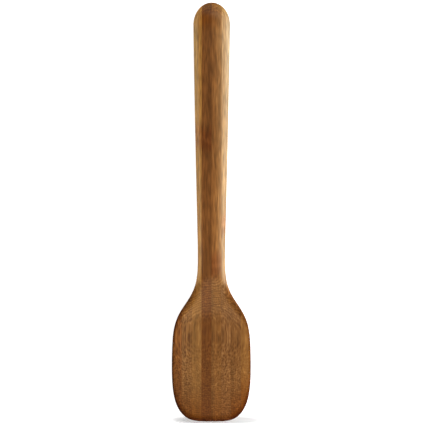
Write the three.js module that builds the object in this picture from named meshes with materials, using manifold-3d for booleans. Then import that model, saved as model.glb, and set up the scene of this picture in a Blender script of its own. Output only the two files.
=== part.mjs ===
// Cooking spoon carved from a blank of eight bamboo strips, stood on edge and glued side by side.
// Sizes are in millimetres. X runs across the spoon, Y from the tip of the bowl to the end of the
// handle, Z up. The spoon lies bowl up on its underside, with the origin under its middle.
// A place along the spoon is its distance from the tip of the bowl.
import * as THREE from 'three';
import Module from 'manifold-3d';
import { mergeVertices } from 'three/addons/utils/BufferGeometryUtils.js';

// Driving dimensions: plan outline
const SPOON_LENGTH = 305;
const HEAD_WIDTH = 57.8;
const HEAD_WIDEST_AT = 47;       // where the tip's rounding ends
const TIP_SQUARENESS = 3.4;      // 2 is an ellipse, higher is squarer
const SHOULDER_AT = 85.5;        // middle of the slope from the head in to the neck
const SHOULDER_SOFTNESS = 7.4;   // length over which the shoulders fall by a factor of e
const NECK_WIDTH = 19.4;
const NECK_AT = 118;             // narrowest place, where the handle's taper begins
const HANDLE_WIDTH = 26.9;
const HANDLE_SWELL = 0.25;       // how far each side of the handle bows out from a straight taper
const HANDLE_END_ROUND = 16.3;   // length over which the handle's end rounds in, seen from above

// Driving dimensions: side profile
const HEAD_EDGE_HEIGHT = 5.2;    // table to the head's widest line, where the head lies lowest
const RIM_RISE = 2.4;            // that line to the top of the rim
const TIP_LIFT = 5.6;            // how far the head bends up from there to the tip
const TIP_LIFT_FROM = 58;        // where it begins to bend up
const TIP_LIFT_CURVE = 1.4;      // 1 is a straight ramp, higher bends more at the tip
const TIP_BELLY = 2.6;           // widest line down to the underside, at the tip
const TIP_EDGE_ROUND = 3.2;      // length over which the tip's edge rounds over
const NECK_EDGE_HEIGHT = 11.6;   // table to the middle of the neck's thickness
const NECK_THICKNESS = 12.6;
const HANDLE_THICKNESS = 15.4;   // at the thick end of the handle
const HANDLE_DOME_LENGTH = 14;   // length over which the handle's end rounds over, seen from the side
const SEAT_DEPTH = 0.6;          // what is sanded flat off the lowest places of the underside

// Driving dimensions: cross-sections
const RIM_SQUARENESS = 7;        // top of the rim, from its edge to the lip
const HANDLE_ROUNDNESS = 2.3;    // 2 is an oval, higher is boxier
const BELLY_CURVE = 2.2;         // the belly, from side to side: higher has steeper sides
const BELLY_FULLNESS = 0.72;     // exponent of the belly's curve, lower is fuller

// Driving dimensions: dish of the bowl
const DISH_DEPTH = 3.4;          // top of the rim down to the dish's floor
const DISH_DEEPEST_AT = 66;
const DISH_NECK_END_AT = 99.5;   // where its floor has come up to the top of the neck
const DISH_TIP_END_AT = 4;
const DISH_WALL_CURVE = 2.2;     // higher has a flatter floor and steeper walls
const LIP_WIDTH = 2.4;           // flat top of the rim, beside the dish
const LIP_SOFTNESS = 1.2;        // height over which the lip is sanded soft, in the head
const NECK_LIP_SOFTNESS = 6;     // the same where the dish runs out on the neck

// Driving dimensions: strips
const STRIP_WIDTH = 7.2;
const CUTTER_MARGIN = 10;        // how far the saw cuts reach past the spoon

// Smoothness of the surface
const TOP_STEPS = 25;
const UNDERSIDE_STEPS = 17;
const STATION_STEPS = { tip: 11, dish: 10, shoulder: 13, handle: 9, end: 8 };
const TIP_CROWDING = 2.2;        // 1 spaces the tip's rings evenly, higher draws them to the tip

const BAMBOO_TONES = {
  left_edge_strip: '#82552d',
  left_outer_strip: '#835830',
  left_inner_strip: '#8d6133',
  left_core_strip: '#6f4220',
  right_core_strip: '#83562c',
  right_inner_strip: '#86592f',
  right_outer_strip: '#82562d',
  right_edge_strip: '#936432',
};

const smoothMin = (a, b, softness) => {
  const nearness = Math.max(softness - Math.abs(a - b), 0) / softness;
  return Math.min(a, b) - nearness * nearness * softness / 4;
};

// A superellipse's height, 1 in its middle and 0 at share 1 of its reach.
const superellipse = (share, squareness) =>
  Math.pow(Math.max(1 - Math.pow(Math.min(Math.abs(share), 1), squareness), 0), 1 / squareness);

const blend = (from, to, share) => from + (to - from) * share;

// How much of the section at a place belongs to the head: 1 in the head, 0 in the handle.
const headShare = (place) => 1 / (1 + Math.exp((place - SHOULDER_AT) / SHOULDER_SOFTNESS));

// How far a place lies along the handle: 0 at the neck, 1 where its end begins to round.
const handleShare = (place) =>
  Math.min((place - NECK_AT) / (SPOON_LENGTH - HANDLE_END_ROUND - NECK_AT), 1);

const tipRound = (place, length, squareness) => superellipse(Math.max(1 - place / length, 0), squareness);

const endRound = (place, length) => superellipse(Math.max(1 - (SPOON_LENGTH - place) / length, 0), 2);

const halfWidth = (place) => {
  const along = handleShare(place);
  const swell = HANDLE_SWELL * 4 * along * (1 - along);
  const handle = blend(NECK_WIDTH, HANDLE_WIDTH, along) / 2 + swell;
  const whole = blend(handle, HEAD_WIDTH / 2, headShare(place));
  return whole * tipRound(place, HEAD_WIDEST_AT, TIP_SQUARENESS) * endRound(place, HANDLE_END_ROUND);
};

const handleHalfThickness = (place) => blend(NECK_THICKNESS, HANDLE_THICKNESS, handleShare(place)) / 2;

// How far the head has bent up at a place between the tip and where it lies lowest.
const tipShare = (place) => Math.max(1 - place / TIP_LIFT_FROM, 0);

const tipLift = (place) => TIP_LIFT * Math.pow(tipShare(place), TIP_LIFT_CURVE);

// Height of the spoon's widest line, where its top and underside meet.
const edgeHeight = (place) => {
  const endHeight = HANDLE_THICKNESS / 2 - SEAT_DEPTH;
  const handle = blend(NECK_EDGE_HEIGHT, endHeight, handleShare(place));
  return blend(handle, HEAD_EDGE_HEIGHT + tipLift(place), headShare(place));
};

const crownRise = (place) =>
  blend(handleHalfThickness(place), RIM_RISE, headShare(place))
  * tipRound(place, TIP_EDGE_ROUND, 2) * endRound(place, HANDLE_DOME_LENGTH);

const bellyDrop = (place) => {
  const head = blend(HEAD_EDGE_HEIGHT + SEAT_DEPTH, TIP_BELLY, tipShare(place) ** 2);
  return blend(handleHalfThickness(place), head, headShare(place))
    * tipRound(place, TIP_EDGE_ROUND, 2) * endRound(place, HANDLE_DOME_LENGTH);
};

const topOfCrown = (place) => edgeHeight(place) + crownRise(place);

// The dish's floor on the centre line: it comes up to the rim slowly at the tip and, where the handle
// begins, in a short steep curve.
const dishFloor = (place) => {
  const towardsNeck = place > DISH_DEEPEST_AT;
  const end = towardsNeck ? DISH_NECK_END_AT : DISH_TIP_END_AT;
  const share = (place - DISH_DEEPEST_AT) / (end - DISH_DEEPEST_AT);
  if (!towardsNeck) return topOfCrown(place) - DISH_DEPTH * (1 - share * share);
  return blend(topOfCrown(DISH_DEEPEST_AT) - DISH_DEPTH, topOfCrown(end), share * share);
};

const dishHeight = (across, place) => {
  const depth = topOfCrown(place) - dishFloor(place);
  if (depth <= 0) return topOfCrown(place) - depth;
  const share = Math.abs(across) / Math.max(halfWidth(place) - LIP_WIDTH, LIP_WIDTH);
  return topOfCrown(place) - depth * (1 - Math.pow(share, DISH_WALL_CURVE));
};

const topHeight = (share, place) => {
  const squareness = blend(HANDLE_ROUNDNESS, RIM_SQUARENESS, headShare(place));
  const crown = edgeHeight(place) + crownRise(place) * superellipse(share, squareness);
  const softness = blend(NECK_LIP_SOFTNESS, LIP_SOFTNESS, headShare(place));
  return smoothMin(crown, dishHeight(share * halfWidth(place), place), softness);
};

const undersideHeight = (share, place) => {
  const curve = blend(HANDLE_ROUNDNESS, BELLY_CURVE, headShare(place));
  const fullness = blend(1 / HANDLE_ROUNDNESS, BELLY_FULLNESS, headShare(place));
  const belly = Math.pow(Math.max(1 - Math.pow(Math.abs(share), curve), 0), fullness);
  return edgeHeight(place) - bellyDrop(place) * belly;
};

// Places of the rings between the two ends, close together where the shape turns quickly.
const stationPlaces = () => {
  const { tip, dish, shoulder, handle, end } = STATION_STEPS;
  const tipEnd = HEAD_WIDEST_AT / 3;
  const shoulderStart = SHOULDER_AT - 2 * SHOULDER_SOFTNESS;
  const endStart = SPOON_LENGTH - HANDLE_END_ROUND;
  const places = [];
  for (let i = 1; i <= tip; i += 1) places.push(tipEnd * Math.pow(i / tip, TIP_CROWDING));
  for (let i = 1; i <= dish; i += 1) places.push(blend(tipEnd, shoulderStart, i / dish));
  for (let i = 1; i <= shoulder; i += 1) places.push(blend(shoulderStart, NECK_AT, i / shoulder));
  for (let i = 1; i <= handle; i += 1) places.push(blend(NECK_AT, endStart, i / handle));
  for (let i = 1; i < end; i += 1) places.push(blend(endStart, SPOON_LENGTH, Math.sin(i / end * Math.PI / 2)));
  return places;
};

const alongY = (place) => place - SPOON_LENGTH / 2;

// One closed ring round the spoon: over the top from left to right, and back under it.
const ringPoints = (place) => {
  const width = halfWidth(place);
  const points = [];
  for (let i = 0; i < TOP_STEPS; i += 1) {
    const share = -Math.cos(i / TOP_STEPS * Math.PI);
    points.push([share * width, alongY(place), topHeight(share, place)]);
  }
  for (let i = 0; i < UNDERSIDE_STEPS; i += 1) {
    const share = Math.cos(i / UNDERSIDE_STEPS * Math.PI);
    points.push([share * width, alongY(place), undersideHeight(share, place)]);
  }
  return points;
};

// The whole carved outside: a skin through the rings, closed by a point at the tip and at the end.
const carvedSpoon = (wasm) => {
  const ringSize = TOP_STEPS + UNDERSIDE_STEPS;
  const rings = stationPlaces().map(ringPoints);
  const tipPoint = [0, alongY(0), edgeHeight(0)];
  const endPoint = [0, alongY(SPOON_LENGTH), edgeHeight(SPOON_LENGTH)];
  const points = [tipPoint, ...rings.flat(), endPoint];
  const last = points.length - 1;
  const at = (ring, i) => 1 + ring * ringSize + i % ringSize;
  const triangles = [];
  for (let i = 0; i < ringSize; i += 1) {
    triangles.push(0, at(0, i + 1), at(0, i));
    triangles.push(last, at(rings.length - 1, i), at(rings.length - 1, i + 1));
  }
  for (let ring = 0; ring < rings.length - 1; ring += 1) {
    for (let i = 0; i < ringSize; i += 1) {
      triangles.push(at(ring, i), at(ring + 1, i + 1), at(ring + 1, i));
      triangles.push(at(ring, i), at(ring, i + 1), at(ring + 1, i + 1));
    }
  }
  return new wasm.Manifold(new wasm.Mesh({
    numProp: 3,
    vertProperties: new Float32Array(points.flat()),
    triVerts: new Uint32Array(triangles),
  }));
};

// A block between four saw planes, higher than the spoon, with its bottom at the sanded seats.
const sawnBlock = (wasm, [fromX, toX], [fromY, toY]) => {
  const height = NECK_EDGE_HEIGHT + NECK_THICKNESS + CUTTER_MARGIN;
  const block = new THREE.BoxGeometry(toX - fromX, toY - fromY, height);
  block.translate((fromX + toX) / 2, (fromY + toY) / 2, height / 2);
  block.deleteAttribute('normal');
  block.deleteAttribute('uv');
  const merged = mergeVertices(block);
  return new wasm.Manifold(new wasm.Mesh({
    numProp: 3,
    vertProperties: new Float32Array(merged.attributes.position.array),
    triVerts: new Uint32Array(merged.index.array),
  }));
};

const stripMesh = (name, solid) => {
  const { vertProperties, triVerts } = solid.getMesh();
  const geometry = new THREE.BufferGeometry();
  geometry.setAttribute('position', new THREE.BufferAttribute(vertProperties, 3));
  geometry.setIndex(new THREE.BufferAttribute(triVerts, 1));
  geometry.computeVertexNormals();
  const material = new THREE.MeshStandardMaterial({ color: BAMBOO_TONES[name], roughness: 0.5, metalness: 0 });
  const mesh = new THREE.Mesh(geometry, material);
  mesh.name = name;
  return mesh;
};

// The four strips of one side, counted outwards from the middle. The inner strip takes what the
// handle has outside it, and the edge strip what the head has.
const stripsOfSide = (wasm, spoon, side, sign) => {
  const beyond = Math.max(HEAD_WIDTH, HANDLE_WIDTH) / 2 + CUTTER_MARGIN;
  const tip = alongY(-CUTTER_MARGIN);
  const neck = alongY(NECK_AT);
  const end = alongY(SPOON_LENGTH + CUTTER_MARGIN);
  const block = (near, far, fromY, toY) =>
    sawnBlock(wasm, sign > 0 ? [near, far] : [-far, -near], [fromY, toY]);
  const blocks = {
    core: block(0, STRIP_WIDTH, tip, end),
    inner: block(STRIP_WIDTH, 2 * STRIP_WIDTH, tip, end).add(block(2 * STRIP_WIDTH, beyond, neck, end)),
    outer: block(2 * STRIP_WIDTH, 3 * STRIP_WIDTH, tip, neck),
    edge: block(3 * STRIP_WIDTH, beyond, tip, neck),
  };
  return Object.entries(blocks).map(([place, sawn]) =>
    stripMesh(`${side}_${place}_strip`, spoon.intersect(sawn)));
};

const wasm = await Module();
wasm.setup();
const spoon = carvedSpoon(wasm);
const cookingSpoon = new THREE.Group();
cookingSpoon.add(...stripsOfSide(wasm, spoon, 'left', -1));
cookingSpoon.add(...stripsOfSide(wasm, spoon, 'right', 1));

export default cookingSpoon;
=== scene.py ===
"""A bamboo cooking spoon, carved from eight strips glued side by side, lying bowl up."""
import math
from types import SimpleNamespace

import bpy
import numpy as np
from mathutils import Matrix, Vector


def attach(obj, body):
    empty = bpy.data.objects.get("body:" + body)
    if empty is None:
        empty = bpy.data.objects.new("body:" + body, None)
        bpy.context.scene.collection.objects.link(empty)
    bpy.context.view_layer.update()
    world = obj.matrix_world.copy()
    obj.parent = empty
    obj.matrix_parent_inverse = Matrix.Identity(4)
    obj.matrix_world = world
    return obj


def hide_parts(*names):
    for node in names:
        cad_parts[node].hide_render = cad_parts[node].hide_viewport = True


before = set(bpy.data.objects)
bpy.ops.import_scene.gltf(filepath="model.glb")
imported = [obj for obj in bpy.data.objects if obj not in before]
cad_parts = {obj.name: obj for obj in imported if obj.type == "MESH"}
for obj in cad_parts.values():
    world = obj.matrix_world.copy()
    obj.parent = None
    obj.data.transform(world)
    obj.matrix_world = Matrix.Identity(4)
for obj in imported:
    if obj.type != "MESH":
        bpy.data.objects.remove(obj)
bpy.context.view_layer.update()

MM = 0.001

# Plan outline, in millimetres. A place along the spoon is its distance from the tip of the bowl.
SPOON_LENGTH = 305.0
HEAD_WIDTH = 57.8
HEAD_WIDEST_AT = 47.0
TIP_SQUARENESS = 3.4
SHOULDER_AT = 85.5
SHOULDER_SOFTNESS = 7.4
NECK_WIDTH = 19.4
NECK_AT = 118.0
HANDLE_WIDTH = 26.9
HANDLE_SWELL = 0.25
HANDLE_END_ROUND = 16.3

# Side profile
HEAD_EDGE_HEIGHT = 5.2
RIM_RISE = 2.4
TIP_LIFT = 5.6
TIP_LIFT_FROM = 58.0
TIP_LIFT_CURVE = 1.4
TIP_BELLY = 2.6
TIP_EDGE_ROUND = 3.2
NECK_EDGE_HEIGHT = 11.6
NECK_THICKNESS = 12.6
HANDLE_THICKNESS = 15.4
HANDLE_DOME_LENGTH = 14.0
SEAT_DEPTH = 0.6

# Cross-sections
RIM_SQUARENESS = 7.0
HANDLE_ROUNDNESS = 2.3
BELLY_CURVE = 2.2
BELLY_FULLNESS = 0.72

# Dish of the bowl
DISH_DEPTH = 3.4
DISH_DEEPEST_AT = 66.0
DISH_NECK_END_AT = 99.5
DISH_TIP_END_AT = 4.0
DISH_WALL_CURVE = 2.2
LIP_WIDTH = 2.4
LIP_SOFTNESS = 1.2
NECK_LIP_SOFTNESS = 6.0

# Strips
STRIP_WIDTH = 7.2

# How far in from the head's outline its rim is darker, as a share of the head's half width, and how
# many times that share is added near the tip and at the shoulders. The darker rim is partly browning
# and partly painted shade where the edge and the shoulders' dish walls turn from the light. Spans are
# places from the tip, and in the last one the darker rim fades out up the neck.
RIM_SHADE_WIDTH = 0.09
NEAR_TIP_EXTRA = 0.5
NEAR_TIP_SPAN = (30.0, 10.0)
SHOULDER_EXTRA = 4.5
SHOULDER_SPAN = (66.0, 90.0)
RIM_FADE_SPAN = (103.0, 92.0)

# Fineness of the strips' surfaces. Places along a strip are denser round DENSE_AT: a bell curve of this
# width adds up to DENSE_EXTRA times their usual number.
PLACE_STEPS = 520
DENSE_AT = 92.0
DENSE_WIDTH = 14.0
DENSE_EXTRA = 2.0
MEASURING_STEPS = 4000
TOP_STEPS = 26
UNDERSIDE_STEPS = 20
WALL_STEPS = 2

# Halvings of a bisection, decimals that tell points apart, in millimetres, and the angle between faces,
# in degrees, from which their edge is sharp
HALVINGS = 50
POINT_DECIMALS = 5
SHARP_ANGLE = 50.0

# Least values that keep divisions off 0: of a width in millimetres, and of the tip's rounding
LEAST_WIDTH = 1e-9
LEAST_TIP_ROUND = 0.05


def blend(start, end, share):
    """The value a share of the way from start to end."""
    return start + (end - start) * share


def smooth_min(a, b, softness):
    """The lower of two heights, with the crease between them eased over a height of softness."""
    nearness = np.maximum(softness - np.abs(a - b), 0) / softness
    return np.minimum(a, b) - nearness ** 2 * softness / 4


def superellipse(share, squareness):
    """1 in the middle, 0 at share 1: the height h of h^n + share^n = 1."""
    return np.maximum(1 - np.minimum(np.abs(share), 1) ** squareness, 0) ** (1 / squareness)


def head_share(place):
    """A logistic step: 1 in the head, a half at the shoulders, 0 in the handle."""
    return 1 / (1 + np.exp((place - SHOULDER_AT) / SHOULDER_SOFTNESS))


def handle_share(place):
    """0 at the neck, rising steadily to 1 where the handle's end begins to round."""
    return np.minimum((place - NECK_AT) / (SPOON_LENGTH - HANDLE_END_ROUND - NECK_AT), 1)


def tip_round(place, length, squareness):
    """A superellipse that closes the tip over its length."""
    return superellipse(np.maximum(1 - place / length, 0), squareness)


def end_round(place, length):
    """A quarter ellipse that closes the handle's end over its length."""
    return superellipse(np.maximum(1 - (SPOON_LENGTH - place) / length, 0), 2)


def half_width(place):
    """The handle's slightly bowed taper, blended to the head's width at the shoulders, both ends round."""
    along = handle_share(place)
    swell = HANDLE_SWELL * 4 * along * (1 - along)
    handle = blend(NECK_WIDTH, HANDLE_WIDTH, along) / 2 + swell
    whole = blend(handle, HEAD_WIDTH / 2, head_share(place))
    tip = tip_round(place, HEAD_WIDEST_AT, TIP_SQUARENESS)
    return whole * tip * end_round(place, HANDLE_END_ROUND)


def handle_half_thickness(place):
    """Half of a thickness that grows steadily from the neck to the handle's end."""
    return blend(NECK_THICKNESS, HANDLE_THICKNESS, handle_share(place)) / 2


def tip_share(place):
    """1 at the tip, falling steadily to 0 where the head lies lowest."""
    return np.maximum(1 - place / TIP_LIFT_FROM, 0)


def edge_height(place):
    """Height of the widest line, where the top and the underside meet."""
    handle = blend(NECK_EDGE_HEIGHT, HANDLE_THICKNESS / 2 - SEAT_DEPTH, handle_share(place))
    lift = TIP_LIFT * tip_share(place) ** TIP_LIFT_CURVE
    return blend(handle, HEAD_EDGE_HEIGHT + lift, head_share(place))


def crown_rise(place):
    """From the widest line up to the top, on the centre line and with no dish."""
    rise = blend(handle_half_thickness(place), RIM_RISE, head_share(place))
    return rise * tip_round(place, TIP_EDGE_ROUND, 2) * end_round(place, HANDLE_DOME_LENGTH)


def belly_drop(place):
    """From the widest line down to the underside: full under the dish, thinner at the tip."""
    head = blend(HEAD_EDGE_HEIGHT + SEAT_DEPTH, TIP_BELLY, tip_share(place) ** 2)
    drop = blend(handle_half_thickness(place), head, head_share(place))
    return drop * tip_round(place, TIP_EDGE_ROUND, 2) * end_round(place, HANDLE_DOME_LENGTH)


def top_of_crown(place):
    """Height of the top on the centre line, with no dish."""
    return edge_height(place) + crown_rise(place)


def dish_floor(place):
    """On the centre line: a parabola of depth that ends at the tip, and one of height up to the neck."""
    to_tip = (DISH_DEEPEST_AT - place) / (DISH_DEEPEST_AT - DISH_TIP_END_AT)
    to_neck = (place - DISH_DEEPEST_AT) / (DISH_NECK_END_AT - DISH_DEEPEST_AT)
    tip_side = top_of_crown(place) - DISH_DEPTH * (1 - to_tip ** 2)
    deepest = top_of_crown(DISH_DEEPEST_AT) - DISH_DEPTH
    neck_side = blend(deepest, top_of_crown(DISH_NECK_END_AT), to_neck ** 2)
    return np.where(place > DISH_DEEPEST_AT, neck_side, tip_side)


def dish_height(across, place):
    """The dish's depth falls off towards its sides as 1 minus a power of the share of its half width."""
    depth = top_of_crown(place) - dish_floor(place)
    share = np.abs(across) / np.maximum(half_width(place) - LIP_WIDTH, LIP_WIDTH)
    dished = top_of_crown(place) - depth * (1 - share ** DISH_WALL_CURVE)
    return np.where(depth > 0, dished, top_of_crown(place) - depth)


def top_height(share, place):
    """The crown's superellipse, cut by the dish wherever the dish is lower."""
    squareness = blend(HANDLE_ROUNDNESS, RIM_SQUARENESS, head_share(place))
    crown = edge_height(place) + crown_rise(place) * superellipse(share, squareness)
    softness = blend(NECK_LIP_SOFTNESS, LIP_SOFTNESS, head_share(place))
    return smooth_min(crown, dish_height(share * half_width(place), place), softness)


def underside_height(share, place):
    """The belly's power curve below the widest line, sanded flat where it would pass the table."""
    curve = blend(HANDLE_ROUNDNESS, BELLY_CURVE, head_share(place))
    fullness = blend(1 / HANDLE_ROUNDNESS, BELLY_FULLNESS, head_share(place))
    belly = np.maximum(1 - np.abs(share) ** curve, 0) ** fullness
    return np.maximum(edge_height(place) - belly_drop(place) * belly, 0)


def strip_reach(inner_face):
    """The first and last place where the spoon is wider than a strip's inner face, by bisection."""
    def crossing(outside, inside):
        for _ in range(HALVINGS):
            middle = (outside + inside) / 2
            if half_width(middle) > inner_face:
                inside = middle
            else:
                outside = middle
        return inside
    last_inside = SPOON_LENGTH - HANDLE_END_ROUND if inner_face < HANDLE_WIDTH / 2 else HEAD_WIDEST_AT
    return crossing(0.0, HEAD_WIDEST_AT), crossing(SPOON_LENGTH, last_inside)


def places_along(first, last):
    """Places from first to last, close together at both ends and round the dish's steep neck end."""
    fine = np.linspace(first, last, MEASURING_STEPS)
    density = 1 + DENSE_EXTRA * np.exp(-((fine - DENSE_AT) / DENSE_WIDTH) ** 2)
    travelled = np.concatenate([[0], np.cumsum((density[1:] + density[:-1]) / 2 * np.diff(fine))])
    turn = (1 - np.cos(np.linspace(0, math.pi, PLACE_STEPS + 1))) / 2
    return np.interp(turn * travelled[-1], travelled, fine)


def strip_mesh(name, side, inner_face, outer_face):
    """A closed skin of rings, one at each place. Across a ring, x is the half width times the sine of
    an angle that goes evenly from the strip's inner face to its outer face or the spoon's edge: over
    the top outwards, down the outer face, back under it inwards and up the inner face."""
    place = places_along(*strip_reach(inner_face))[:, None]
    width = np.maximum(half_width(place), inner_face)
    low_angle = np.arcsin(np.clip(inner_face / np.maximum(width, LEAST_WIDTH), 0, 1))
    high_angle = np.arcsin(np.clip(outer_face / np.maximum(width, LEAST_WIDTH), 0, 1))

    top_share = np.sin(blend(low_angle, high_angle, np.linspace(0, 1, TOP_STEPS + 1)))
    under_share = np.sin(blend(low_angle, high_angle, np.linspace(1, 0, UNDERSIDE_STEPS + 1)))
    top = top_height(top_share, place)
    under = underside_height(under_share, place)
    wall = np.linspace(0, 1, WALL_STEPS + 1)[1:-1]
    outer_wall = blend(top[:, -1:], under[:, :1], wall)
    inner_wall = blend(under[:, -1:], top[:, :1], wall)

    across = np.hstack([top_share * width, (top_share[:, -1:] * width).repeat(len(wall), 1),
                        under_share * width, (under_share[:, -1:] * width).repeat(len(wall), 1)])
    height = np.hstack([top, outer_wall, under, inner_wall])
    along = np.broadcast_to(place - SPOON_LENGTH / 2, across.shape)
    points = np.stack([side * across, along, height], axis=2)

    rings, ring_size = across.shape
    corner = np.arange(rings * ring_size).reshape(rings, ring_size)
    beside = np.roll(corner, -1, axis=1)
    quads = np.stack([corner[:-1], corner[1:], beside[1:], beside[:-1]], axis=2).reshape(-1, 4)
    if side < 0:
        quads = quads[:, ::-1]
    return merged_mesh(name, points.reshape(-1, 3), quads)


def merged_mesh(name, points, quads):
    """A mesh in metres whose points at one place are one point, with the faces that this shuts left out."""
    _, first, label = np.unique(np.round(points, POINT_DECIMALS), axis=0,
                                return_index=True, return_inverse=True)
    faces = []
    for quad in label.reshape(-1)[quads].tolist():
        face = list(dict.fromkeys(quad))
        if len(face) > 2:
            faces.append(face)
    mesh = bpy.data.meshes.new(name)
    mesh.from_pydata(points[first] * MM, [], faces)
    mesh.validate()
    mesh.shade_smooth()
    mesh.set_sharp_from_angle(angle=math.radians(SHARP_ANGLE))
    mark(mesh, "cut", cut_across(mesh))
    mark(mesh, "rim", rim(mesh))
    return mesh


def smooth_step(value, start, end):
    """0 up to start, 1 from end on, and a smooth curve between them. Start may lie above end."""
    share = np.clip((value - start) / (end - start), 0, 1)
    return share * share * (3 - 2 * share)


def mark(mesh, name, values):
    """Keeps a number for each vertex, which the material reads."""
    mesh.attributes.new(name, "FLOAT", "POINT").data.foreach_set("value", values)


def cut_across(mesh):
    """How squarely the surface cuts the fibres: the share of its normal that points along the spoon."""
    normals = np.empty(len(mesh.vertices) * 3, dtype=np.float32)
    mesh.vertex_normals.foreach_get("vector", normals)
    return np.abs(normals[1::3])


def rim(mesh):
    """1 on the head's outline and 0 from a short way inside it: a smooth step of a superellipse's
    radius, in which the head's side is 1 across and its tip 1 along, faded out up the neck."""
    points = np.empty(len(mesh.vertices) * 3, dtype=np.float32)
    mesh.vertices.foreach_get("co", points)
    across = np.abs(points[0::3]) / MM
    place = points[1::3] / MM + SPOON_LENGTH / 2
    tip = np.maximum(1 - place / HEAD_WIDEST_AT, 0)
    tip_rounding = tip_round(place, HEAD_WIDEST_AT, TIP_SQUARENESS)
    untipped = half_width(place) / np.maximum(tip_rounding, LEAST_TIP_ROUND)
    radius = ((across / untipped) ** TIP_SQUARENESS + tip ** TIP_SQUARENESS) ** (1 / TIP_SQUARENESS)
    near_tip = smooth_step(place, *NEAR_TIP_SPAN)
    at_shoulder = smooth_step(place, *SHOULDER_SPAN)
    width = RIM_SHADE_WIDTH * (1 + NEAR_TIP_EXTRA * near_tip + SHOULDER_EXTRA * at_shoulder)
    return smooth_step(radius, 1 - width, 1) * smooth_step(place, *RIM_FADE_SPAN)


def linear(hex_colour):
    """An sRGB hex colour as linear red, green, blue and 1."""
    parts = [int(hex_colour[i:i + 2], 16) / 255 for i in (1, 3, 5)]
    curved = [p / 12.92 if p <= 0.04045 else ((p + 0.055) / 1.055) ** 2.4 for p in parts]
    return (*curved, 1.0)


def bare_material(name):
    """A material with no nodes yet, and its node tree."""
    material = bpy.data.materials.new(name)
    material.use_nodes = True
    material.node_tree.nodes.clear()
    return material, material.node_tree


def add(tree, kind, inputs=(), output=0, **settings):
    """Adds a node, sets its properties, and links or sets its inputs, which are listed in the node's
    own order, or named or numbered in a dictionary. Gives one of its outputs, if it has any."""
    node = tree.nodes.new("ShaderNode" + kind)
    for key, value in settings.items():
        setattr(node, key, value)
    if not isinstance(inputs, dict):
        inputs = dict(enumerate(inputs))
    for key, value in inputs.items():
        if isinstance(value, bpy.types.NodeSocket):
            tree.links.new(value, node.inputs[key])
        else:
            node.inputs[key].default_value = value
    return node.outputs[output] if node.outputs else None


# Each strip's bamboo. order counts the strips outwards from the middle. head is the ground's colour in
# the head, and handle the same in the handle, at the strip's inner and outer side. lean is how much
# darker the head's ground is at the strip's inner side, and tip how much darker it is at the tip, partly
# oil stain and partly painted shade. That darkening begins at tip_from, in millimetres from the spoon's
# middle. neck_shade and end_shade are what is left of the ground's light at the neck and towards the
# handle's end. marks and layers say how strongly fibre bundles and growth layers show, rim how much
# painted shade and browning darken the rim, and soaks how much oil the handle's end has taken.
# knuckles, the cane's old joints, are places from the tip.
STRIPS = {
    "left_edge_strip": dict(order=3, head="#7a481e", tip=0.4, marks=1.6, layers=0.6, rim=0.85),
    "left_outer_strip": dict(
        order=2, head="#85582c", lean=0.12, tip=0.8, marks=1.7, layers=0.6, rim=0.75),
    "left_inner_strip": dict(
        order=1, head="#8b5e2e", handle=("#ab7736", "#a57e3b"), tip=0.8, marks=0.7, layers=0.3,
        soaks=0.4, knuckles=[207.0]),
    "left_core_strip": dict(
        order=0, head="#72421b", handle=("#7a4b23", "#8d5729"), tip=0.3, marks=1.0, layers=0.4,
        neck_shade=0.87, end_shade=0.76, soaks=1.0, knuckles=[204.0]),
    "right_core_strip": dict(
        order=0, head="#8c5b2c", handle=("#8d5a2c", "#956736"), lean=0.34, tip=0.5, marks=1.0,
        layers=0.8, end_shade=0.78, soaks=0.5, knuckles=[114.0]),
    # right_inner_strip's paler, greyer outer colour in the handle is partly painted highlight from the
    # lights on the right.
    "right_inner_strip": dict(
        order=1, head="#905f32", handle=("#9c7648", "#998564"), lean=0.18, tip=0.5, marks=1.5,
        layers=0.6, knuckles=[143.0]),
    "right_outer_strip": dict(
        order=2, head="#8b5b2e", lean=0.12, tip=1.0, marks=1.3, layers=0.8, rim=0.85),
    "right_edge_strip": dict(
        order=3, head="#9a6732", tip=0.85, tip_from=-110.0, marks=0.6, layers=0.5, rim=0.8),
}

# What a strip has where STRIPS doesn't say otherwise
ORDINARY = dict(
    lean=0.0, tip_from=-122.0, neck_shade=1.0, end_shade=1.0, rim=1.0, soaks=0.15, knuckles=[])

# What each stain multiplies the red, green and blue under it by
BUNDLE_TINT = (0.44, 0.35, 0.27, 1.0)
PITH_TINT = (1.50, 1.64, 1.90, 1.0)
END_GRAIN_TINT = (1.0, 0.97, 0.56, 1.0)
# The tip's darkening is partly oil stain and partly painted shade of the tip, which turns from the light.
TIP_STAIN_AND_SHADE_TINT = (0.78, 0.50, 0.18, 1.0)
OIL_TINT = (0.82, 0.64, 0.30, 1.0)
# The rim's darkening is partly browning from sanding and use and partly painted shade where the edge and
# the shoulders' dish walls turn from the light.
RIM_SHADE_TINT = (0.54, 0.42, 0.27, 1.0)
# The outline's darkening is painted shade of its rounding, which turns from the light.
EDGE_SHADE_TINT = (0.55, 0.44, 0.34, 1.0)
GLUE_TINT = (0.90, 0.85, 0.80, 1.0)
KNUCKLE_TINT = (0.80, 0.64, 0.56, 1.0)

# How strongly the marks show, and how much of the bundles and the pith two places hide
BUNDLE_STRENGTH = 0.6
PITH_STRENGTH = 0.8
LAYER_STRENGTH = 0.4
ROW_STRENGTH = 0.36
ROW_GAP_STRENGTH = 0.34
KNUCKLE_LINE_STRENGTH = 0.4
HIDDEN_ON_SLOPES = 0.4
HIDDEN_IN_HANDLE = 0.65

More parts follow.
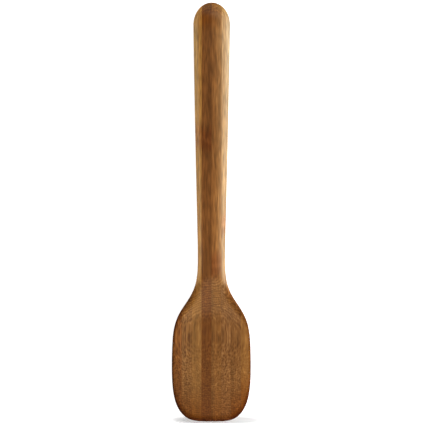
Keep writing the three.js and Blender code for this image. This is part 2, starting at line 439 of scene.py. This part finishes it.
# Where the bamboo changes along the spoon, in millimetres from its middle towards the handle's end
ALONG_SPANS = {
    "tip_rows": (-118.0, -136.0),
    "before_shoulder": (-62.0, -84.0),
    "shaft": (-62.0, -38.0),
    "in_handle": (-50.0, -20.0),
    "soaked_end": (126.0, 141.0),
}
NECK_SPAN = (25.0, -20.0)
HANDLE_END_SPAN = (0.0, 50.0)
TIP_DARKENING_LENGTH = 30.0

# Where it changes with how squarely the surface cuts the fibres: 0 is along them, 1 right across
CUT_SPANS = {
    "sloping": (0.15, 0.35),
    "not_across": (0.80, 0.50),
    "end_grain": (0.10, 0.70),
    "thirsty": (0.12, 0.45),
    "dull": (0.45, 0.85),
    "upper": (0.60, 0.30),
}

# Where it changes near the rim: 0 is inside it, 1 on the outline
RIM_SPANS = {"dull": (0.0, 0.5), "edge": (0.5, 1.0)}

# Where it changes across a strip, in millimetres outwards from the strip's inner face
LEAN_SPAN = (-1.0, 4.0)
HANDLE_SIDES_SPAN = (1.0, STRIP_WIDTH)

# Real sizes of the pattern, in millimetres, across the strip and up through it. Bundles stand 0.4 to
# 0.8 mm apart in real bamboo, and are drawn up to twice as coarse as that so that they show.
BUNDLE_SPACING = (1.35, 0.60)
ROW_SPACING = 0.80
ROW_UNEVENNESS = 0.5
GLUE_LINE = 0.22

# How far the bundles are from a regular lattice, from 0 to 1
BUNDLE_DISORDER = 0.55

# Where each place turns into dark bundle or into pale pith: by its distance from a bundle's middle, as
# a share of the spacing, by the cane's vigour there, and by the noise that stands for growth layers
DOT_SPANS = {"dark": (0.46, 0.10), "light": (0.40, 0.70)}
VIGOUR_SPANS = {"dark": (0.36, 0.56), "light": (0.64, 0.44)}
LAYER_SPANS = {"dark": (0.45, 0.30), "light": (0.55, 0.70)}

# Soft noises along the fibres: their spacing across, along and up, in millimetres, and detail. The
# drift's fibres are straight, and all others wander and dip.
GRAIN = {
    "vigour": ((2.4, 16.0, 1.0), 1.0),
    "layers": ((6.0, 70.0, 0.62), 1.5),
    "fibre": ((0.85, 16.0, 0.85), 1.0),
    "streaks": ((1.1, 9.0, 1.1), 1.0),
}
DRIFT = {"drift": ((3.5, 90.0, 3.5), 2.0)}

# How dark and how light such a noise makes the bamboo, over the span of most of its values: the fibre
# by a factor, and the drift and the streaks by what they add to a factor of 1
NOISE_SPAN = (0.3, 0.7)
FIBRE_TONE = (0.82, 1.18)
DRIFT_TONE = (-0.13, 0.13)
DRIFT_LEFT_IN_HANDLE = 0.2
STREAK_TONE = (-0.28, 0.28)

# The fibres wander sideways and up, at this spacing and over this width. From the place DIP_FROM they
# dip towards the tip, at a slope that grows by DIP_GROWTH in each millimetre. Strips are cut from
# places in the cane that are CANE_STEP apart.
WANDER_SPACING = (6.0, 45.0, 6.0)
WANDER_REACH = (2.0, 0.0, 2.0)
DIP_FROM = 60.0
DIP_SLOPE = 0.08
DIP_GROWTH = 0.006
CANE_STEP = (31.7, 173.0, 11.3)

# Across a knuckle: how far it waves, and where its reddish band and its pale line fade, in millimetres
KNUCKLE_WAVE = 8.0
KNUCKLE_SPANS = {"band": (13.0, 3.0), "line": (2.6, 0.6)}

# The finish, sanded and oiled to a satin. The oil's film is amber, so its sheen is warm.
ROUGHNESS = 0.40
BUNDLES_ROUGHER = 0.10
HANDLE_ROUGHER = -0.05
THIRSTY_ROUGHER = 0.30
SHEEN_LEVEL = 0.50
DULL_SHEEN_LEVEL = 0.10
OIL_SHEEN = (1.0, 0.88, 0.70, 1.0)
OILED_WOOD_IOR = 1.42
BUNDLES_SUNK = 0.6
GRAIN_RELIEF = 0.04
RELIEF_STRENGTH = 0.4

# What turns a Map Range node into a smooth step
SMOOTH = {"interpolation_type": "SMOOTHSTEP"}


def product(tree, *factors):
    """All the factors multiplied together."""
    result = factors[0]
    for factor in factors[1:]:
        result = add(tree, "Math", [result, factor], operation="MULTIPLY")
    return result


def stained(tree, colour, *stains):
    """The colour multiplied by each stain's tint in turn, as far as its amounts together say. A Mix
    node takes its two colours as inputs 6 and 7, and gives their mix as output 2."""
    for tint, *amounts in stains:
        colour = add(tree, "Mix", {0: product(tree, *amounts), 6: colour, 7: tint}, 2,
                     data_type="RGBA", blend_type="MULTIPLY")
    return colour


def steps(tree, value, spans):
    """A smooth step from 0 to 1 over each span of the value, under the span's name."""
    return {name: add(tree, "MapRange", [value, *span], **SMOOTH) for name, span in spans.items()}


def noises(tree, place, kinds):
    """A soft noise of each kind, under the kind's name."""
    values = {}
    for name, (spacing, detail) in kinds.items():
        scaled = add(tree, "Mapping", {"Vector": place, "Scale": [1 / size for size in spacing]})
        values[name] = add(tree, "TexNoise", {"Vector": scaled, "Scale": 1.0, "Detail": detail})
    return values


def places_in_cane(tree, spot, y, seed):
    """Where the spot lies in the strip's own cane: first with straight fibres, then with fibres that
    wander by a soft noise and dip by the distance past DIP_FROM times the slope there."""
    straight = add(tree, "VectorMath", [spot, [seed * step for step in CANE_STEP]], operation="ADD")
    scaled = add(tree, "Mapping", {"Vector": straight, "Scale": [1 / size for size in WANDER_SPACING]})
    soft = add(tree, "TexNoise", {"Vector": scaled, "Scale": 1.0, "Detail": 1.0}, "Color")
    centred = add(tree, "VectorMath", [soft, (0.5, 0.5, 0.5)], operation="SUBTRACT")
    wander = add(tree, "VectorMath", [centred, WANDER_REACH], operation="MULTIPLY")
    past = add(tree, "Math", [DIP_FROM - SPOON_LENGTH / 2, y], operation="SUBTRACT")
    past = add(tree, "Math", [past, 0.0], operation="MAXIMUM")
    slope = add(tree, "Math", [past, DIP_GROWTH / 2, DIP_SLOPE], operation="MULTIPLY_ADD")
    dip = add(tree, "CombineXYZ", {"Z": product(tree, past, slope)})
    wandering = add(tree, "VectorMath", [straight, wander], operation="ADD")
    return straight, add(tree, "VectorMath", [wandering, dip], operation="ADD")


def read_surface(tree, seed):
    """What the material knows of each place: where it is on the spoon and in its cane, how squarely
    it cuts the fibres, how near the rim it is, and the soft noises of its grain."""
    object_place = add(tree, "TexCoord", output="Object")
    spot = add(tree, "VectorMath", {0: object_place, "Scale": 1 / MM}, operation="SCALE")
    x = add(tree, "SeparateXYZ", [spot], "X")
    y = add(tree, "SeparateXYZ", [spot], "Y")
    straight, bent = places_in_cane(tree, spot, y, seed)
    rim_share = add(tree, "Attribute", output="Fac", attribute_name="rim")
    cut_share = add(tree, "Attribute", output="Fac", attribute_name="cut")
    cut = steps(tree, cut_share, CUT_SPANS)
    return SimpleNamespace(
        x=x, y=y, bent=bent, outwards=add(tree, "Math", [x], operation="ABSOLUTE"),
        along=steps(tree, y, ALONG_SPANS), cut=cut, rim=rim_share,
        near_rim=steps(tree, rim_share, RIM_SPANS),
        sloping=product(tree, cut["sloping"], cut["not_across"]),
        **noises(tree, bent, GRAIN), **noises(tree, straight, DRIFT))


def bundles_and_pith(tree, at):
    """How much each place is a dark fibre bundle, and how much pale pith between them. Bundles are
    dots in the cane's section, one in each cell of a Voronoi pattern. They come and go with the cane's
    vigour, and show less on slopes and in the handle."""
    sideways = product(tree, add(tree, "SeparateXYZ", [at.bent], "X"), 1 / BUNDLE_SPACING[0])
    upwards = product(tree, add(tree, "SeparateXYZ", [at.bent], "Z"), 1 / BUNDLE_SPACING[1])
    section = add(tree, "CombineXYZ", [sideways, upwards])
    from_middle = add(tree, "TexVoronoi", {"Vector": section, "Scale": 1.0,
                      "Randomness": BUNDLE_DISORDER}, "Distance", voronoi_dimensions="2D")
    dots = steps(tree, from_middle, DOT_SPANS)
    strong = steps(tree, at.vigour, VIGOUR_SPANS)
    hidden_on_slope = product(tree, at.sloping, HIDDEN_ON_SLOPES)
    hidden_in_handle = product(tree, at.along["in_handle"], HIDDEN_IN_HANDLE)
    hidden = add(tree, "Math", [hidden_on_slope, hidden_in_handle], operation="MAXIMUM")
    shown = add(tree, "Math", [1.0, hidden], operation="SUBTRACT")
    return [product(tree, dots[tone], strong[tone], shown) for tone in ("dark", "light")]


def ground_colour(tree, at, look):
    """The bamboo's colour without its fibres: in the head, darker at the strip's inner side and towards
    the tip, partly oil stain and partly painted shade, and in the handle, from its inner side's colour to
    its outer side's."""
    inner_face = look["order"] * STRIP_WIDTH
    tip_end = look["tip_from"] - TIP_DARKENING_LENGTH
    tip_stain_and_shade = add(tree, "MapRange", [at.y, look["tip_from"], tip_end, 0.0, look["tip"]], **SMOOTH)
    lean_span = [inner_face + offset for offset in LEAN_SPAN]
    light_left = add(tree, "MapRange", [at.outwards, *lean_span, 1.0 - look["lean"], 1.0], **SMOOTH)
    head = stained(tree, linear(look["head"]), (TIP_STAIN_AND_SHADE_TINT, tip_stain_and_shade))
    head = add(tree, "VectorMath", {0: head, "Scale": light_left}, operation="SCALE")

    sides_span = [inner_face + offset for offset in HANDLE_SIDES_SPAN]
    outer_side = add(tree, "MapRange", [at.outwards, *sides_span], **SMOOTH)
    inner_colour, outer_colour = map(linear, look["handle"])
    shaft = add(tree, "Mix", {0: outer_side, 6: inner_colour, 7: outer_colour}, 2, data_type="RGBA")
    at_neck = add(tree, "MapRange", [at.y, *NECK_SPAN, 1.0, look["neck_shade"]], **SMOOTH)
    at_end = add(tree, "MapRange", [at.y, *HANDLE_END_SPAN, 1.0, look["end_shade"]], **SMOOTH)
    shade = product(tree, at_neck, at_end)
    shaft = add(tree, "VectorMath", {0: shaft, "Scale": shade}, operation="SCALE")
    return add(tree, "Mix", {0: at.along["shaft"], 6: head, 7: shaft}, 2, data_type="RGBA")


def fibre_tone(tree, at):
    """How light the fibres are, about 1: fine fibres everywhere, a slow drift across the strip, which
    the handle has little of, and streaks in the handle."""
    in_handle = at.along["in_handle"]
    fibre = add(tree, "MapRange", [at.fibre, *NOISE_SPAN, *FIBRE_TONE])
    drift = add(tree, "MapRange", [at.drift, *NOISE_SPAN, *DRIFT_TONE])
    drift_left = add(tree, "MapRange", [in_handle, 0.0, 1.0, 1.0, DRIFT_LEFT_IN_HANDLE])
    streaks = add(tree, "MapRange", [at.streaks, *NOISE_SPAN, *STREAK_TONE])
    drifting = add(tree, "Math", [drift, drift_left, 1.0], operation="MULTIPLY_ADD")
    streaked = add(tree, "Math", [streaks, in_handle, 1.0], operation="MULTIPLY_ADD")
    return product(tree, fibre, drifting, streaked)


def grain_colour(tree, at, look, dark, light):
    """The ground stained by fibre bundles, pith and growth layers, in the fibres' tone."""
    layers = steps(tree, at.layers, LAYER_SPANS)
    marks, layer_strength = look["marks"], LAYER_STRENGTH * look["layers"]
    colour = stained(tree, ground_colour(tree, at, look),
                     (BUNDLE_TINT, dark, BUNDLE_STRENGTH * marks),
                     (PITH_TINT, light, PITH_STRENGTH * marks),
                     (BUNDLE_TINT, layers["dark"], layer_strength),
                     (PITH_TINT, layers["light"], layer_strength))
    return add(tree, "VectorMath", {0: colour, "Scale": fibre_tone(tree, at)}, operation="SCALE")


def rows_and_gaps(tree, at):
    """Where the surface cuts across the cane its layers of bundles come out as rows, and the pith as
    gaps between them: a sine of the height in the cane, made uneven by the cane's vigour."""
    height = add(tree, "SeparateXYZ", [at.bent], "Z")
    uneven = add(tree, "Math", [at.vigour, ROW_UNEVENNESS, height], operation="MULTIPLY_ADD")
    wave = add(tree, "Math", [product(tree, uneven, 2 * math.pi / ROW_SPACING)], operation="SINE")
    row = add(tree, "Math", [wave, 0.5, 0.5], operation="MULTIPLY_ADD")
    gap = add(tree, "Math", [1.0, row], operation="SUBTRACT")
    rowed = add(tree, "Math", [at.sloping, at.along["tip_rows"]], operation="MAXIMUM")
    return product(tree, row, rowed), product(tree, gap, at.sloping)


def with_knuckles(tree, at, colour, knuckles):
    """The cane's old joints: a broad reddish band with a thin pale line along it, waving a little."""
    for knuckle in knuckles:
        middle = knuckle - SPOON_LENGTH / 2 + KNUCKLE_WAVE / 2
        waved = add(tree, "Math", [at.vigour, KNUCKLE_WAVE, at.y], operation="MULTIPLY_ADD")
        off = add(tree, "Math", [waved, middle], operation="SUBTRACT")
        near = steps(tree, add(tree, "Math", [off], operation="ABSOLUTE"), KNUCKLE_SPANS)
        colour = stained(tree, colour, (KNUCKLE_TINT, near["band"]),
                         (PITH_TINT, near["line"], KNUCKLE_LINE_STRENGTH))
    return colour


def used_oiled_and_shaded(tree, at, look, colour):
    """The colour with its rows, darker end grain, oil in the top of the handle's end, a rim darkened partly
    by sanding and use and partly by painted shade, an outline darkened by painted shade, and the thin glue
    lines, which lie at each whole number of strip widths."""
    row, gap = rows_and_gaps(tree, at)
    from_glue = add(tree, "Math", [at.x, STRIP_WIDTH / 2], operation="PINGPONG")
    glued = add(tree, "MapRange", [from_glue, GLUE_LINE, 0.0], **SMOOTH)
    return stained(tree, colour,
                   (BUNDLE_TINT, row, ROW_STRENGTH),
                   (PITH_TINT, gap, ROW_GAP_STRENGTH),
                   (END_GRAIN_TINT, at.cut["end_grain"]),
                   (OIL_TINT, at.along["soaked_end"], at.cut["upper"], look["soaks"]),
                   (RIM_SHADE_TINT, at.rim, look["rim"]),
                   (EDGE_SHADE_TINT, at.near_rim["edge"], at.along["before_shoulder"]),
                   (GLUE_TINT, glued))


def satin_shader(tree, at, colour, dark):
    """Sanded and oiled wood: bundles stand a hair lower and are rougher, hands have smoothed the
    handle, and slopes and the rim, which drink the oil, are rougher and end in a duller sheen."""
    height = add(tree, "Math", [dark, -BUNDLES_SUNK, at.fibre], operation="MULTIPLY_ADD")
    relief = add(tree, "Bump", {"Strength": RELIEF_STRENGTH, "Distance": GRAIN_RELIEF * MM,
                 "Height": height})
    thirsty = add(tree, "Math", [at.cut["thirsty"], at.rim], operation="MAXIMUM")
    rough = ROUGHNESS
    for share, rougher in ((dark, BUNDLES_ROUGHER), (at.along["in_handle"], HANDLE_ROUGHER),
                           (thirsty, THIRSTY_ROUGHER)):
        rough = add(tree, "Math", [share, rougher, rough], operation="MULTIPLY_ADD")
    dull = add(tree, "Math", [at.cut["dull"], at.near_rim["dull"]], operation="MAXIMUM")
    sheen = add(tree, "MapRange", [dull, 0.0, 1.0, SHEEN_LEVEL, DULL_SHEEN_LEVEL])
    return add(tree, "BsdfPrincipled", {
        "Base Color": colour, "Roughness": rough, "Normal": relief, "IOR": OILED_WOOD_IOR,
        "Specular IOR Level": sheen, "Specular Tint": OIL_SHEEN})


def carbonised_bamboo(name, look, seed):
    """Laminated bamboo, steamed brown, sanded and oiled: a satin brown wood whose dark fibre bundles
    run the whole length, so that they show as streaks where the surface follows them, as dashes where
    it slopes, and as rows where it cuts across them. End grain drinks more oil and looks darker."""
    look = {**ORDINARY, "handle": (look["head"], look["head"]), **look}
    material, tree = bare_material("carbonised_bamboo_" + name)
    at = read_surface(tree, seed)
    dark, light = bundles_and_pith(tree, at)
    colour = grain_colour(tree, at, look, dark, light)
    colour = used_oiled_and_shaded(tree, at, look, colour)
    colour = with_knuckles(tree, at, colour, look["knuckles"])
    add(tree, "OutputMaterial", {"Surface": satin_shader(tree, at, colour, dark)})
    return material


def build_strips():
    """The eight strips, each in place of its CAD node."""
    outermost = max(look["order"] for look in STRIPS.values())
    for seed, (name, look) in enumerate(STRIPS.items(), start=1):
        side = -1 if name.startswith("left") else 1
        inner_face = look["order"] * STRIP_WIDTH
        outer_face = HEAD_WIDTH if look["order"] == outermost else inner_face + STRIP_WIDTH
        piece = bpy.data.objects.new(name + "_carved", strip_mesh(name, side, inner_face, outer_face))
        bpy.context.collection.objects.link(piece)
        piece.data.materials.append(carbonised_bamboo(name, look, seed))
        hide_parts(name)
        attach(piece, "root")


# Where the floor isn't brightened beyond the tip: a flat ellipse's middle and half sizes, and the share
# of them from which its shade fades. Under the spoon, the shade fades within SHADE_EDGE of the outline.
TIP_SHADOW_MIDDLE = (6.0, -153.4)
TIP_SHADOW_REACH = (47.0, 4.7)
TIP_SHADOW_FULL = 0.5
SHADE_EDGE = 3.0

# How much light the floor adds to what the camera sees of it, away from the spoon
FLOOR_GLOW = 0.75

# Half the floor's size, and the half sizes and the steps of its fine part round the spoon
FLOOR_REACH = 3000.0
FINE_ACROSS = 60.0
FINE_ALONG = 180.0
FINE_STEPS_ACROSS = 80
FINE_STEPS_ALONG = 360


def spoon_shade(across, along):
    """1 right under the spoon and in the flat ellipse under its tip, 0 outside them."""
    under = smooth_step(half_width(along + SPOON_LENGTH / 2) - np.abs(across), 0, SHADE_EDGE)
    from_middle = np.hypot((across - TIP_SHADOW_MIDDLE[0]) / TIP_SHADOW_REACH[0],
                           (along - TIP_SHADOW_MIDDLE[1]) / TIP_SHADOW_REACH[1])
    return np.maximum(under, 1 - smooth_step(from_middle, TIP_SHADOW_FULL, 1))


def floor_lines(fine_reach, fine_steps):
    """Where the floor's grid lines lie: even ones near the spoon, and one far out on each side."""
    fine_lines = np.linspace(-fine_reach, fine_reach, fine_steps + 1)
    return np.concatenate([[-FLOOR_REACH], fine_lines, [FLOOR_REACH]])


def floor_mesh():
    """A flat grid, fine near the spoon, with the spoon's shade as a mark."""
    grid_across, grid_along = np.meshgrid(floor_lines(FINE_ACROSS, FINE_STEPS_ACROSS),
                                          floor_lines(FINE_ALONG, FINE_STEPS_ALONG))
    points = np.stack([grid_across, grid_along, np.zeros_like(grid_along)], axis=2).reshape(-1, 3)
    corner = np.arange(grid_along.size).reshape(grid_along.shape)
    quads = np.stack([corner[:-1, :-1], corner[:-1, 1:], corner[1:, 1:], corner[1:, :-1]], axis=2)
    mesh = bpy.data.meshes.new("floor")
    mesh.from_pydata(points * MM, [], quads.reshape(-1, 4).tolist())
    mark(mesh, "spoon_shade", spoon_shade(points[:, 0], points[:, 1]))
    return mesh


def white_table():
    """White matt paint. To the camera it is brightened, except right under the spoon and under its
    tip, so that only there its shadow shows."""
    material, tree = bare_material("white_table")
    paint = add(tree, "BsdfDiffuse", {"Color": linear("#f4f4f4")})
    seen = add(tree, "LightPath", output="Is Camera Ray")
    shade = add(tree, "Attribute", output="Fac", attribute_name="spoon_shade")
    bright = add(tree, "Math", [shade, -FLOOR_GLOW, FLOOR_GLOW], operation="MULTIPLY_ADD")
    glow = add(tree, "Emission", {"Color": (1, 1, 1, 1), "Strength": product(tree, seen, bright)})
    add(tree, "OutputMaterial", {"Surface": add(tree, "AddShader", [paint, glow])})
    return material


def build_floor():
    """The plain white table top that the spoon lies on."""
    floor = bpy.data.objects.new("floor", floor_mesh())
    floor.data.materials.append(white_table())
    bpy.context.collection.objects.link(floor)


# The room's light near its horizon, and the upward part of a direction over which it fades
ROOM_GLOW = 1.2
ROOM_GLOW_SPAN = (0.65, 0.35)


def build_room():
    """A pale room that glows near its horizon and is dark overhead, and that the camera sees as white."""
    world = bpy.data.worlds.new("pale_room")
    bpy.context.scene.world = world
    world.use_nodes = True
    tree = world.node_tree
    tree.nodes.clear()
    direction = add(tree, "TexCoord", output="Generated")
    upward = add(tree, "SeparateXYZ", [direction], "Z")
    glow = add(tree, "MapRange", [upward, *ROOM_GLOW_SPAN, 0.0, ROOM_GLOW], **SMOOTH)
    seen = add(tree, "LightPath", output="Is Camera Ray")
    strength = add(tree, "Math", [glow, seen], operation="MAXIMUM")
    background = add(tree, "Background", {"Color": (1, 1, 1, 1), "Strength": strength})
    add(tree, "OutputWorld", {"Surface": background})


# Soft light low from the right, weaker from the left, the front and the back. Azimuth 0 is right and 90
# the handle's end, in degrees. Soft boxes are 0.9 m long and stand as far from the spoon.
SOFT_BOX_LENGTH = 0.9
SOFT_BOX_DISTANCE = 0.9
SOFT_BOXES = {
    "right_low_soft_box": dict(azimuth=0, elevation=7.7, height=0.24, watts=7.5),
    "right_soft_box": dict(azimuth=0, elevation=40, height=0.3, watts=4.4),
    "left_soft_box": dict(azimuth=180, elevation=14, height=0.3, watts=2.1),
    "front_soft_box": dict(azimuth=270, elevation=12, height=0.3, watts=3.9),
    "back_soft_box": dict(azimuth=62, elevation=45, height=0.3, watts=2.6),
}


def build_soft_box(name, azimuth, elevation, height, watts):
    """One soft box, turned to the spoon."""
    lamp = bpy.data.lights.new(name, "AREA")
    lamp.shape = "RECTANGLE"
    lamp.size, lamp.size_y = SOFT_BOX_LENGTH, height
    lamp.energy = watts
    turn, rise = math.radians(azimuth), math.radians(elevation)
    towards = Vector((math.cos(rise) * math.cos(turn), math.cos(rise) * math.sin(turn), math.sin(rise)))
    box = bpy.data.objects.new(name, lamp)
    box.location = towards * SOFT_BOX_DISTANCE
    box.rotation_euler = (-towards).to_track_quat("-Z", "Y").to_euler()
    bpy.context.collection.objects.link(box)


# The camera's lens and sensor, the picture's width and the spoon's length in it, in pixels, and the
# height at which that length is seen. Then how far the camera is moved and, in degrees, how far turned.
LENS = 100.0
SENSOR = 36.0
PICTURE_PIXELS = 423
SPOON_PIXELS = 418.9
EDGE_LEVEL = 9.0
CAMERA_MOVE = 0.05
CAMERA_TURN = 0.07


def build_camera():
    """Straight above the spoon, with its picture turned and moved by a hair."""
    data = bpy.data.cameras.new("camera")
    data.lens = LENS
    data.sensor_width = SENSOR
    camera = bpy.data.objects.new("camera", data)
    picture_width = PICTURE_PIXELS * SPOON_LENGTH / SPOON_PIXELS
    camera_level = picture_width * LENS / SENSOR + EDGE_LEVEL
    camera.location = (0.0, CAMERA_MOVE * MM, camera_level * MM)
    camera.rotation_euler.z = math.radians(CAMERA_TURN)
    bpy.context.collection.objects.link(camera)
    bpy.context.scene.camera = camera


build_camera()
build_strips()
build_floor()
for box_name, box in SOFT_BOXES.items():
    build_soft_box(box_name, **box)
build_room()
bpy.context.scene.view_settings.view_transform = "Standard"
